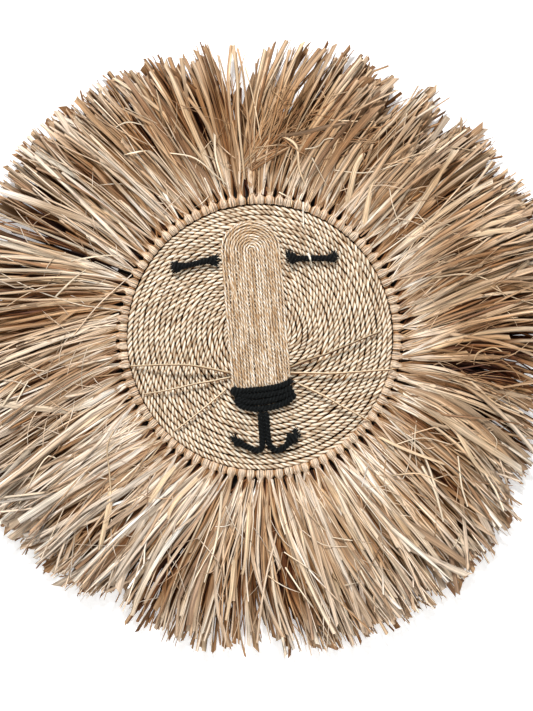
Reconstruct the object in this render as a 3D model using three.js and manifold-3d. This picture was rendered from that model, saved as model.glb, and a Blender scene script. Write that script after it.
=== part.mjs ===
// Lion wall hanging: a coiled rope disc for the face, a raffia mane knotted round it,
// a twine nose bridge, cord features and six straw whiskers.
// Millimetres. The face looks along -Y, +Z is up, and the wall is the plane y = 0.
// The pieces are drawn in the face's own plane, x to the right, y up the face and
// z out from the wall, and the whole group is stood up at the end.
import * as THREE from 'three';
import { mergeVertices } from 'three/addons/utils/BufferGeometryUtils.js';
import Module from 'manifold-3d';

const wasm = await Module();
wasm.setup();

// Clearances
const FIT = 0.4; // between pieces that touch
const RING_GAP = 1.3; // between the disc's edge and the ring of knots

// Rope disc
const ROPE = 5.3; // thickness of the rope, and of one turn of the coil
const DISC_RADIUS = 132.5;
const DISC_STEPS = 24; // facets in one turn
const ROPE_GROOVE = 2.2; // depth of the groove between two turns
const COIL_RISE = 6; // height of the coil's eye above the disc's centre

// Mane
const TUFTS = 92;
const KNOT_LENGTH = 7.6; // across a knot's head, outwards from the face
const KNOT_HEIGHT = 9;
const NECK_LENGTH = 12; // from a knot's head to where the tufts meet
const NECK_HEIGHT = 8;
const NECK_OPENING = 4.4; // width of the gap between two necks
const MANE_RADIUS = 304; // to the tips of the longest tufts
const MANE_SAG = 7; // the hanging tufts reach lower and the standing ones less high
const MANE_HEIGHT = 24; // of the tufts at their fullest
const TIP_HEIGHT = 11;
const TUFT_GROOVE = 9; // depth between two full tufts
const TIP_NOTCH = 9; // how far the gap between two tufts cuts in at the tips
const TIP_SPREAD = 9; // how much one tuft's length differs from the next
const TUFT_LEAN = 1.1; // degrees that a tuft leans to one side
// Gaps in the mane's edge, at degrees from the right of the face: where, how deep, how wide
const MANE_GAPS = [
  [50, 34, 2.6],
  [60, 38, 2.4],
  [66, 18, 2.4],
  [89, 22, 4.2],
  [97, 16, 2.4],
  [105, 12, 2.4],
  [241, 20, 3.4],
  [265, 11, 2.6],
  [271, 14, 2.4],
  [331, 26, 3.4],
  [346, 28, 2.8],
];

// Nose bridge
const TWINE = 2.7; // thickness of the twine, and of the bridge
const BRIDGE_LOOPS = 11; // nested loops of twine
const BRIDGE_TOP = [-9.2, 86.5]; // middle of the round top
const BRIDGE_FOOT = [1.6, -50]; // middle of the lower end
const BRIDGE_ARCH_STEPS = 8;
const TWINE_GROOVE = 1.1;

// Black cord
const CORD = 5.9; // thickness
const CORD_SIDES = 6;
const KNOB = 10.6; // size of a knotted end
const NOSE_ROWS = 4;
const NOSE_TOP = [[-29, -54.6], [-17, -55], [-2, -53.4], [12, -51.8], [24, -49.2], [31.5, -45.4]];
const NOSE_STEPS = 6;
const NOSE_KNOT = [-30, -56.8]; // middle of the knot at the left end of the top row
const LEFT_EYE = [[-88, 69.1], [-72, 71.2], [-54, 75.6], [-43.8, 76]];
const RIGHT_EYE = [[27.5, 78.8], [40, 78], [58, 78.4], [75.5, 78.3]];
const LEFT_MOUTH = [[2.4, -100], [2.3, -108.5], [-1.2, -113.2], [-8, -111.6], [-17.5, -107], [-26.5, -103.6]];
const RIGHT_MOUTH = [[9, -100], [10.6, -108.4], [16.4, -113], [24.6, -109.6], [30.4, -103], [35.6, -96.6]];
const MOUTH_LEAN = 1.6; // the stems' upper ends stand this far to the left of their lower ends

// Whiskers: the height of the root, how far out from the bridge's side it starts, the far
// end, how far the middle stands proud of the face and bows up it, and how far the far end
// stands proud, where it lies over the knots
const WHISKER = 1.4; // thickness
const WHISKER_STEPS = 5;
const OVER_KNOTS = KNOT_HEIGHT - ROPE;
const WHISKERS = {
  whisker_left_1: { side: -1, root: -35.6, out: 0, to: [-129.2, -29.6], proud: 5, bow: 5, lift: 0 },
  whisker_left_2: { side: -1, root: -40, out: 0, to: [-116, -57.3], proud: 1, bow: 0, lift: 0 },
  whisker_left_3: { side: -1, root: -51.5, out: 5, to: [-85, -93.5], proud: 1, bow: -1, lift: 0 },
  whisker_right_1: { side: 1, root: -30.8, out: 0, to: [120.4, 5], proud: 2, bow: 0, lift: 0 },
  whisker_right_2: { side: 1, root: -35.6, out: 0, to: [132, -32.8], proud: 0, bow: -1.5, lift: OVER_KNOTS },
  whisker_right_3: { side: 1, root: -46.5, out: 7, to: [109.2, -83.8], proud: 0, bow: 1, lift: OVER_KNOTS },
};

const FACE_TOP = ROPE + FIT; // the level that everything on the face lies on
const KNOT_INNER = DISC_RADIUS + RING_GAP;
const KNOT_OUTER = KNOT_INNER + KNOT_LENGTH;
const NECK_OUTER = KNOT_OUTER + NECK_LENGTH;
const BRIDGE_HALF = TWINE * BRIDGE_LOOPS;

const ROPE_COLOUR = 0xc1ab90;
const RAFFIA_COLOUR = 0xab8c6c;
const TWINE_COLOUR = 0xcdb191;
const CORD_COLOUR = 0x1c1f20;
const STRAW_COLOUR = 0xc9ac80;

// A repeatable number between -1 and 1 for each seed
function scatter(seed) {
  const wave = Math.sin(seed * 12.9898 + 4.1414) * 43758.5453;
  return 2 * (wave - Math.floor(wave)) - 1;
}

function cloth(colour, roughness) {
  return new THREE.MeshStandardMaterial({ color: colour, roughness, metalness: 0 });
}

// A closed solid from corner points and triangles, with the corners that coincide joined
function solidFrom(points, triangles) {
  const geometry = new THREE.BufferGeometry();
  geometry.setAttribute('position', new THREE.Float32BufferAttribute(points.flat(), 3));
  geometry.setIndex(triangles.flat());
  const joined = mergeVertices(geometry, 1e-3);
  const kept = [];
  const index = joined.index.array;
  for (let i = 0; i < index.length; i += 3) {
    const [a, b, c] = [index[i], index[i + 1], index[i + 2]];
    if (a !== b && b !== c && c !== a) kept.push(a, b, c);
  }
  joined.setIndex(kept);
  return joined;
}

function toManifold(geometry) {
  const bare = geometry.clone();
  bare.deleteAttribute('normal');
  bare.deleteAttribute('uv');
  const joined = mergeVertices(bare, 1e-4);
  const mesh = new wasm.Mesh({
    numProp: 3,
    vertProperties: new Float32Array(joined.attributes.position.array),
    triVerts: new Uint32Array(joined.index.array),
  });
  return new wasm.Manifold(mesh);
}

function fuse(geometries) {
  const whole = geometries.map(toManifold).reduce((sum, next) => sum.add(next));
  const mesh = whole.getMesh();
  const geometry = new THREE.BufferGeometry();
  geometry.setAttribute('position', new THREE.Float32BufferAttribute(mesh.vertProperties, 3));
  geometry.setIndex(Array.from(mesh.triVerts));
  return geometry;
}

// Rope disc: one rope laid in a flat spiral, a ridge along it and a groove between its turns
function faceDisc() {
  const rows = 2 * Math.ceil(DISC_RADIUS / ROPE);
  const points = [];
  const triangles = [];
  const columns = DISC_STEPS + 1;
  for (let row = -2; row <= rows; row++) {
    for (let column = 0; column <= DISC_STEPS; column++) {
      const turns = row / 2 + column / DISC_STEPS;
      const radius = THREE.MathUtils.clamp(ROPE * turns, 0, DISC_RADIUS);
      const angle = 2 * Math.PI * column / DISC_STEPS;
      const atRim = radius === DISC_RADIUS;
      const height = atRim ? ROPE / 2 : row % 2 === 0 && radius > 0 ? ROPE : ROPE - ROPE_GROOVE;
      const rise = COIL_RISE * (1 - radius / DISC_RADIUS);
      points.push([radius * Math.cos(angle), radius * Math.sin(angle) + rise, height]);
    }
  }
  for (let row = 0; row < rows + 2; row++) {
    for (let column = 0; column < DISC_STEPS; column++) {
      const inner = row * columns + column;
      const outer = inner + columns;
      triangles.push([inner, outer, outer + 1], [inner, outer + 1, inner + 1]);
    }
  }
  // The rim down to the wall, and the flat back
  const rim = (rows + 2) * columns;
  const foot = points.length;
  for (let column = 0; column <= DISC_STEPS; column++) {
    const [x, y] = points[rim + column];
    points.push([x, y, 0]);
  }
  const middle = points.push([0, 0, 0]) - 1;
  for (let column = 0; column < DISC_STEPS; column++) {
    const [a, b, c, d] = [rim + column, rim + column + 1, foot + column, foot + column + 1];
    triangles.push([a, c, d], [a, d, b], [middle, d, c]);
  }
  return solidFrom(points, triangles);
}

// Mane: how far the mane reaches at an angle, in degrees, before one tuft differs from the next
function maneReach(degrees) {
  let reach = MANE_RADIUS - MANE_SAG * Math.sin(THREE.MathUtils.degToRad(degrees));
  for (const [at, depth, width] of MANE_GAPS) {
    const away = (degrees - at) / width;
    reach -= depth * Math.exp(-away * away);
  }
  return reach;
}

// The rows of corners along a tuft, from the knot to the tip: distance from the face's
// centre, height on the tuft's ridge and height in the groove beside it
function tuftRows(reach, fullness) {
  const full = MANE_HEIGHT * fullness;
  const span = reach - NECK_OUTER;
  return [
    [KNOT_INNER, KNOT_HEIGHT / 2, KNOT_HEIGHT / 2.5],
    [KNOT_INNER + KNOT_LENGTH / 2, KNOT_HEIGHT, KNOT_HEIGHT / 1.6],
    [KNOT_OUTER, NECK_HEIGHT, NECK_HEIGHT / 2],
    [NECK_OUTER, NECK_HEIGHT, NECK_HEIGHT / 2],
    [NECK_OUTER + 0.3 * span, full * 0.85, full * 0.85 - TUFT_GROOVE / 2],
    [NECK_OUTER + 0.68 * span, full, full - TUFT_GROOVE],
    [reach, TIP_HEIGHT, TIP_HEIGHT],
  ];
}

function raffiaMane() {
  const columns = 2 * TUFTS;
  const points = [];
  const triangles = [];
  const corner = (radius, degrees, height) => {
    const angle = THREE.MathUtils.degToRad(degrees);
    return points.push([radius * Math.cos(angle), radius * Math.sin(angle), height]) - 1;
  };
  const front = [];
  const back = [];
  const openings = [];
  for (let column = 0; column < columns; column++) {
    const degrees = 360 * column / columns;
    const inGroove = column % 2 === 1;
    const cut = inGroove ? TIP_NOTCH * (1 + 0.5 * scatter(column + 0.5)) : 0;
    const reach = maneReach(degrees) + TIP_SPREAD * (scatter(column) - 1) / 2 - cut;
    const rows = tuftRows(reach, 1 + 0.16 * scatter(column + 200));
    const lean = TUFT_LEAN * scatter(column + 400);
    const turned = (row) => degrees + lean * Math.max(0, row - 3) / 3;
    front.push(rows.map(([radius, ridge, groove], row) => {
      return corner(radius, turned(row), inGroove ? groove : ridge);
    }));
    const [inner, , neckStart, neckEnd, , fullest, tip] = front[column];
    back.push([
      inner,
      corner(rows[2][0], degrees, 0),
      corner(rows[3][0], degrees, 0),
      corner(rows[5][0], turned(5), 0),
      tip,
    ]);
    if (!inGroove) continue;
    const middle = (KNOT_OUTER + NECK_OUTER) / 2;
    const half = THREE.MathUtils.radToDeg(NECK_OPENING / 2 / middle);
    openings[column] = [-half, half].map((side) => [
      corner(middle, degrees + side, NECK_HEIGHT * 0.7),
      corner(middle, degrees + side, 0),
    ]);
  }

  // A strip between two neighbouring columns, counter-clockwise from the front
  const strip = (rowsA, rowsB, row, flip) => {
    const [a, b, c, d] = [rowsA[row], rowsA[row + 1], rowsB[row + 1], rowsB[row]];
    if (flip) triangles.push([a, c, b], [a, d, c]);
    else triangles.push([a, b, c], [a, c, d]);
  };
  // The same strip where a neck's side stands back from the opening beside it
  const neckSide = (solid, open, edge, row, flip) => {
    const faces = [
      [solid[row], edge, open[row]],
      [solid[row], solid[row + 1], edge],
      [solid[row + 1], open[row + 1], edge],
    ];
    for (const [a, b, c] of faces) triangles.push(flip ? [a, c, b] : [a, b, c]);
  };
  for (let column = 0; column < columns; column++) {
    const next = (column + 1) % columns;
    const opensNext = next % 2 === 1;
    for (const [rows, neck, flip] of [[front, 2, false], [back, 1, true]]) {
      const layer = flip ? 1 : 0;
      for (let row = 0; row < rows[column].length - 1; row++) {
        if (row !== neck) strip(rows[column], rows[next], row, flip);
        else if (opensNext) neckSide(rows[column], rows[next], openings[next][0][layer], row, flip);
        else neckSide(rows[next], rows[column], openings[column][1][layer], row, !flip);
      }
    }
    if (column % 2 === 0) continue;
    const [[leftFront, leftBack], [rightFront, rightBack]] = openings[column];
    const frontLoop = [front[column][2], leftFront, front[column][3], rightFront];
    const backLoop = [back[column][1], leftBack, back[column][2], rightBack];
    frontLoop.forEach((a, i) => {
      const j = (i + 1) % frontLoop.length;
      triangles.push([a, frontLoop[j], backLoop[j]], [a, backLoop[j], backLoop[i]]);
    });
  }
  return solidFrom(points, triangles);
}

// Cord: a tube along points on the face, at the height where it rests on what is below it
function cordAt(points, thickness, height, steps, sides) {
  const route = new THREE.CatmullRomCurve3(
    points.map(([x, y, rise = 0]) => new THREE.Vector3(x, y, height + thickness / 2 + rise)),
    false,
    'centripetal',
  );
  const section = new THREE.Shape();
  for (let side = 0; side < sides; side++) {
    const angle = 2 * Math.PI * (side + 0.5) / sides;
    const x = thickness / 2 * Math.cos(angle);
    const y = thickness / 2 * Math.sin(angle);
    if (side === 0) section.moveTo(x, y);
    else section.lineTo(x, y);
  }
  section.closePath();
  return new THREE.ExtrudeGeometry(section, { steps, extrudePath: route, bevelEnabled: false });
}

// A knotted end, flattened on the side that it rests on
function knobAt([x, y], size) {
  const knob = new THREE.SphereGeometry(size / 2, 2 * CORD_SIDES - 4, 4);
  knob.rotateX(Math.PI / 2);
  knob.scale(1, 1, (CORD + TWINE / 2) / size);
  knob.translate(x, y, FACE_TOP + (CORD + TWINE / 2) / 2);
  return knob;
}

// Nose: rows of cord laid one under the other, shorter and rounder towards the lowest
function noseRow(row) {
  const top = new THREE.SplineCurve(NOSE_TOP.map(([x, y]) => new THREE.Vector2(x, y)));
  const start = row === 0 ? 0 : 0.08 + 0.03 * row;
  const end = 1 - 0.02 * row;
  const points = [];
  for (let step = 0; step <= NOSE_STEPS; step++) {
    const along = step / NOSE_STEPS;
    const { x, y } = top.getPoint(THREE.MathUtils.lerp(start, end, along));
    const drop = row * CORD * (0.7 + 0.3 * Math.sin(Math.PI * along));
    points.push([x, y - drop]);
  }
  return points;
}

function nose() {
  const rows = [];
  for (let row = 0; row < NOSE_ROWS; row++) {
    rows.push(cordAt(noseRow(row), CORD + 2 * FIT / 3, FACE_TOP, NOSE_STEPS, CORD_SIDES));
  }
  rows.push(knobAt(NOSE_KNOT, KNOB - 1));
  return fuse(rows);
}

// The height on the face of the nose's upper or lower edge at a given x
function noseEdge(row, x, side) {
  const points = noseRow(row);
  let next = points.findIndex((point) => point[0] > x);
  if (next === -1) next = points.length - 1;
  next = Math.max(next, 1);
  const [from, to] = [points[next - 1], points[next]];
  const along = (x - from[0]) / (to[0] - from[0]);
  return THREE.MathUtils.lerp(from[1], to[1], along) + side * (CORD / 2 + FIT);
}

// Nose bridge: nested loops of twine, open at the foot where the nose closes them
function noseBridge() {
  const top = new THREE.Vector2(...BRIDGE_TOP);
  const down = new THREE.Vector2(...BRIDGE_FOOT).sub(top).normalize();
  const across = new THREE.Vector2(-down.y, down.x);
  const from = (side, along) => top.clone().addScaledVector(across, side).addScaledVector(down, along);
  // Where a strand at this distance from the middle line meets the nose
  const footOf = (side) => {
    let along = 0;
    for (let pass = 0; pass < 4; pass++) {
      along += (noseEdge(0, from(side, along).x, 1) - from(side, along).y) / down.y;
    }
    return from(side, along);
  };
  const points = [];
  const triangles = [];
  const rows = 2 * BRIDGE_LOOPS;
  const last = BRIDGE_ARCH_STEPS + 2;
  // Each row is one way up, over and down again: ridges on the twine, grooves between
  const row = (reach, height) => {
    const corners = [];
    for (let station = 0; station <= last; station++) {
      const turn = Math.PI * (station - 1) / BRIDGE_ARCH_STEPS;
      let place = from(reach * Math.cos(turn), -reach * Math.sin(turn));
      if (station === 0) place = footOf(reach);
      if (station === last) place = footOf(-reach);
      corners.push(points.push([place.x, place.y, height]) - 1);
    }
    return corners;
  };
  const strip = (a, b) => {
    for (let i = 0; i < a.length - 1; i++) {
      triangles.push([a[i], a[i + 1], b[i + 1]], [a[i], b[i + 1], b[i]]);
    }
  };
  const grid = [row(BRIDGE_HALF, FACE_TOP + TWINE / 2)];
  for (let ring = 1; ring <= rows; ring++) {
    const height = FACE_TOP + (ring % 2 === 1 ? TWINE : TWINE - TWINE_GROOVE);
    grid.push(row(BRIDGE_HALF * (1 - ring / rows), height));
    strip(grid[ring - 1], grid[ring]);
  }
  // The foot's cut ends, the walls and the flat underside
  const rightFoot = grid.map((corners) => corners[0]);
  const leftFoot = grid.map((corners) => corners[last]).reverse();
  const foot = [...rightFoot, ...leftFoot.slice(1)];
  const below = (corners) => corners.map((corner) => {
    const [x, y] = points[corner];
    return points.push([x, y, FACE_TOP]) - 1;
  });
  const outline = below(grid[0]);
  const footBelow = below(foot);
  strip(outline, grid[0]);
  strip(footBelow.toReversed(), foot.toReversed());
  const middle = from(0, (BRIDGE_TOP[1] - BRIDGE_FOOT[1]) / 2);
  const hub = points.push([middle.x, middle.y, FACE_TOP]) - 1;
  const floor = [...outline, ...footBelow.slice(1, -1).reverse()];
  floor.forEach((corner, i) => triangles.push([hub, floor[(i + 1) % floor.length], corner]));
  return solidFrom(points, triangles);
}

function eye(points) {
  const first = points[0];
  const last = points[points.length - 1];
  return fuse([
    cordAt(points, CORD, FACE_TOP, 5, CORD_SIDES),
    knobAt(first, KNOB),
    knobAt(last, KNOB - 1),
  ]);
}

// One side of the mouth: a stem under the nose that turns outwards and up at its foot
function mouth(points, knobSize) {
  const [x] = points[0];
  const stemTop = x - MOUTH_LEAN;
  const start = [stemTop, noseEdge(NOSE_ROWS - 1, stemTop, -1) - FIT];
  return fuse([
    cordAt([start, ...points], CORD, FACE_TOP, 12, CORD_SIDES),
    knobAt(points[points.length - 1], knobSize),
  ]);
}

function whisker({ side, root, out, to, proud, bow, lift }) {
  const [topX, topY] = BRIDGE_TOP;
  const slope = (BRIDGE_FOOT[0] - topX) / (BRIDGE_FOOT[1] - topY);
  const bridgeSide = topX + slope * (root - topY) + side * BRIDGE_HALF * Math.hypot(1, slope);
  const rootX = bridgeSide + side * (FIT + out);
  const points = [0, 0.25, 0.5, 0.75, 1].map((along) => {
    const swell = Math.sin(Math.PI * along);
    const x = THREE.MathUtils.lerp(rootX, to[0], along);
    const y = THREE.MathUtils.lerp(root, to[1], along) + bow * swell;
    return [x, y, proud * swell + lift * along];
  });
  return cordAt(points, WHISKER, FACE_TOP, WHISKER_STEPS, 6);
}

const lion = new THREE.Group();

function add(name, geometry, material) {
  const piece = new THREE.Mesh(geometry, material);
  piece.name = name;
  lion.add(piece);
}

add('face_disc', faceDisc(), cloth(ROPE_COLOUR, 0.85));
add('raffia_mane', raffiaMane(), cloth(RAFFIA_COLOUR, 0.8));
add('nose_bridge', noseBridge(), cloth(TWINE_COLOUR, 0.9));
add('nose', nose(), cloth(CORD_COLOUR, 0.95));
add('mouth_left', mouth(LEFT_MOUTH, KNOB - 1.6), cloth(CORD_COLOUR, 0.95));
add('mouth_right', mouth(RIGHT_MOUTH, KNOB), cloth(CORD_COLOUR, 0.95));
add('eye_left', eye(LEFT_EYE), cloth(CORD_COLOUR, 0.95));
add('eye_right', eye(RIGHT_EYE), cloth(CORD_COLOUR, 0.95));
for (const [name, route] of Object.entries(WHISKERS)) {
  add(name, whisker(route), cloth(STRAW_COLOUR, 0.7));
}

// Stand the face up: its plane's y becomes +Z and its front becomes -Y
lion.rotation.x = Math.PI / 2;

export default lion;
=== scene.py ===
# Lion wall hanging: the strands of its rope face, knotted raffia mane, twine, cord and straws.
import bpy
import math
import numpy as np
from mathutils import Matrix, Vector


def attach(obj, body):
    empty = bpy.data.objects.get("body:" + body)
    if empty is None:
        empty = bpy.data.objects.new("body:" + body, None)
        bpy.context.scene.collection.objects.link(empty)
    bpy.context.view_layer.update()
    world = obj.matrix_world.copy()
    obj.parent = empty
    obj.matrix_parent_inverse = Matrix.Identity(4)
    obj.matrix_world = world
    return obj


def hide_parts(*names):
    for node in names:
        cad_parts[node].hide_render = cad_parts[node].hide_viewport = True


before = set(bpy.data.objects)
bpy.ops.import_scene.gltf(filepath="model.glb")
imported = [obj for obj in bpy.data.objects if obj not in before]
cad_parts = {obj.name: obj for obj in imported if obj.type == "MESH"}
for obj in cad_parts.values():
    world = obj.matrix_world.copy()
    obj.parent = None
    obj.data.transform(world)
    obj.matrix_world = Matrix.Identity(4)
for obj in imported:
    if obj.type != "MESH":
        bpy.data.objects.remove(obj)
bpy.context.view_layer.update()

# Sizes in millimetres on the face: right, up and out from the wall, as in the part's source
MM = 0.001
ROPE = 5.3
FACE_TOP = ROPE + 0.4
DISC_RADIUS = 132.5
COIL_RISE = 6
TUFTS = 92
TWINE = 2.7
BRIDGE_LOOPS = 11
BRIDGE_TOP = np.array([-9.2, 86.5])
BRIDGE_FOOT = np.array([1.6, -50.0])
CORD = 5.9
NOSE_ROWS = [
    [(-30, -54.9), (-18.8, -53.9), (-6.2, -52.9), (6.2, -51.6), (18.8, -49.3), (26.2, -46.4), (31.4, -43)],
    [(-24.5, -57), (-12.5, -59.2), (0, -58.4), (12.5, -56.8), (23.8, -54.2), (32.5, -49.4)],
    [(-25, -58.4), (-18, -63.2), (-8.8, -65.4), (2.5, -64.7), (15, -62), (26.2, -58.4), (34, -53.2)],
    [(-24.5, -61), (-19.6, -68), (-10, -71.2), (0, -71.8), (11.2, -70.2), (22.5, -66.6), (31.2, -61.4),
     (35, -56)],
]
LEFT_EYE = [(-88, 69.1), (-72, 71.2), (-54, 75.6), (-43.8, 76)]
RIGHT_EYE = [(27.5, 78.8), (40, 78), (58, 78.4), (75.5, 78.3)]
LEFT_MOUTH = [
    (0.4, -74.6), (0.9, -84), (2.2, -100), (2.2, -108.5), (-1.2, -113.2),
    (-8, -111.6), (-17.5, -107), (-26.5, -103.6)]
RIGHT_MOUTH = [
    (6.3, -74.6), (6.8, -84), (8.1, -100), (10.2, -108.4), (16.4, -113),
    (24.6, -109.6), (30.4, -103), (35.6, -96.6)]
# The hidden felt and hoop, then the mane, with its thinnest place in degrees from the right
BACKING_RADIUS = 157
FELT = 0.6
HOOP_RADIUS = 137.7
HOOP_WIRE = 1.9
HOOP_OUT = 4.2
MANE_RADIUS = 304
MANE_SAG = 7
NECK_RADIUS = 150
STRANDS_PER_TUFT = 60
LOCKS_PER_TUFT = 8
WRAPS_PER_KNOT = 9
STRAYS, SHEAF, TANGLE = 230, 52, 50
PLACED_ABOVE = 1.4
THIN_AT = 88
# Gaps in the mane's edge: where round the face, in degrees, how deep and how wide
MANE_GAPS = [
    (50, 44, 2.4), (60, 48, 2.2), (66, 22, 2.4), (91.3, 34, 2.6), (97, 28, 1.2), (105, 12, 2.4),
    (241, 20, 3.4), (265, 11, 2.6), (271, 14, 2.4), (331, 26, 3.4), (346, 28, 2.8),
]

# How far the tufts are swept from straight out, in degrees: at an angle round the face,
# near the knots, half way and at the tips
MANE_LEAN = np.array([
    (0, 17, 12, 0), (10, 16, 10, 4), (20, 13, 3, 1), (30, 7, 3, -4), (40, 4, 0, -3),
    (50, 0, -5, -7), (60, 0, -8, -12), (70, -2, -14, -18), (80, -8, -24, -20), (88, -8, -20, -16),
    (94, -4, -14, -12), (96, 1, 3, 2), (100, 4, 6, 8), (110, 10, 6, 8), (120, 9, 8, 8), (130, 5, 5, 5),
    (140, 0, 0, 0), (150, -2, -1, 0), (160, 7, 8, 4), (170, 20, 16, 7), (180, 19, 20, 16),
    (190, 10, 16, 20), (200, 13, 11, 10), (210, 10, 8, 8), (220, -8, -6, -7), (230, -12, -12, -6),
    (240, -13, -11, -6), (250, -16, -15, -2), (260, -10, -9, 0), (270, -4, 2, 12),
    (280, 9, 9, 12), (290, 3, 5, 8), (300, 5, 6, 5), (310, 2, 1, 0), (320, -3, -4, -8),
    (330, -4, -8, -12), (340, -1, -9, -11), (350, 10, -2, -9),
], float)
LEAN_RADII = (165, 215, 272)
# How far out the top strands lie, from the necks to the tips
HEIGHTS = ((0, 6.5), (0.12, 13), (0.3, 19.5), (0.68, 23.5), (0.9, 18), (1, 12.5))
# How much darker and browner the raffia is made round the face, and how tangled it is, from the right
BROWNER = (
    (0, 1.1), (45, 0.6), (80, 1.2), (100, 1.1), (135, 0.3), (180, 0.4), (225, 0.0), (270, 0.25), (315, 0.35))
MESSY = (
    (0, 1.0), (45, 1.0), (72, 1.6), (95, 0.8), (150, 0.8), (180, 1.0), (215, 1.7), (250, 1.3),
    (290, 1.0), (325, 1.6))


def on_wall(points):
    """Millimetres on the face to metres in the part's frame"""
    points = np.asarray(points, float)
    return np.stack([points[..., 0], -points[..., 2], points[..., 1]], -1) * MM


def linear(red, green, blue):
    """A colour as seen, 0 to 255, as the light it sends back"""
    seen = np.array([red, green, blue]) / 255
    return np.where(seen > 0.04045, ((seen + 0.055) / 1.055) ** 2.4, seen / 12.92)


def shaded(colour, light):
    """Dry fibre with less light on it, which turns browner as it darkens"""
    return colour * np.asarray(light, float)[..., None] ** np.array([1.0, 1.52, 2.2])


def unit(vectors):
    return vectors / np.maximum(np.linalg.norm(vectors, axis=-1, keepdims=True), 1e-12)


def polar(places):
    """How far from the middle of the face, and where round it in degrees"""
    return np.hypot(places[..., 0], places[..., 1]), np.degrees(np.arctan2(places[..., 1], places[..., 0]))


def read_off(value, table, column=1, **around):
    """A value between a table's rows"""
    rows = np.array(table, float)
    return np.interp(value, rows[:, 0], rows[:, column], **around)


def circle(corners):
    turns = np.arange(corners) * 2 * math.pi / corners
    return np.stack([np.cos(turns), np.sin(turns)], -1)


def drop_selection():
    bpy.ops.object.select_all(action="DESELECT")


def seated(piece, slot, *nodes):
    """The piece belongs to the hanging and stands for these solids"""
    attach(piece, "root")
    if nodes:
        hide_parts(*nodes)
    return piece


# Meshes from strands

def mesh_piece(name, corners, loops, starts, maps, tint, material):
    """One mesh object from its corners (metres), faces, maps of the surface and corner colours"""
    mesh = bpy.data.meshes.new(name)
    mesh.vertices.add(len(corners))
    mesh.vertices.foreach_set("co", corners.astype(np.float32).ravel())
    mesh.loops.add(len(loops))
    mesh.loops.foreach_set("vertex_index", loops.astype(np.int32))
    mesh.polygons.add(len(starts))
    mesh.polygons.foreach_set("loop_start", starts.astype(np.int32))
    mesh.update(calc_edges=True)
    for map_name, places in maps.items():
        layer = mesh.uv_layers.new(name=map_name)
        layer.data.foreach_set("uv", places.astype(np.float32).ravel())
    colours = mesh.color_attributes.new(name="Tint", type="FLOAT_COLOR", domain="POINT")
    shade = np.ones((len(corners), 4), np.float32)
    shade[:, :tint.shape[1]] = tint
    colours.data.foreach_set("color", shade.ravel())
    mesh.materials.append(material)
    piece = bpy.data.objects.new(name, mesh)
    bpy.context.collection.objects.link(piece)
    return piece


def smooth_but(piece, sharp):
    """Smooth faces, with the given edges kept crisp"""
    mesh = piece.data
    mesh.polygons.foreach_set("use_smooth", np.ones(len(mesh.polygons), bool))
    crisp = mesh.attributes.new("sharp_edge", "BOOLEAN", "EDGE")
    crisp.data.foreach_set("value", sharp)


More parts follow.
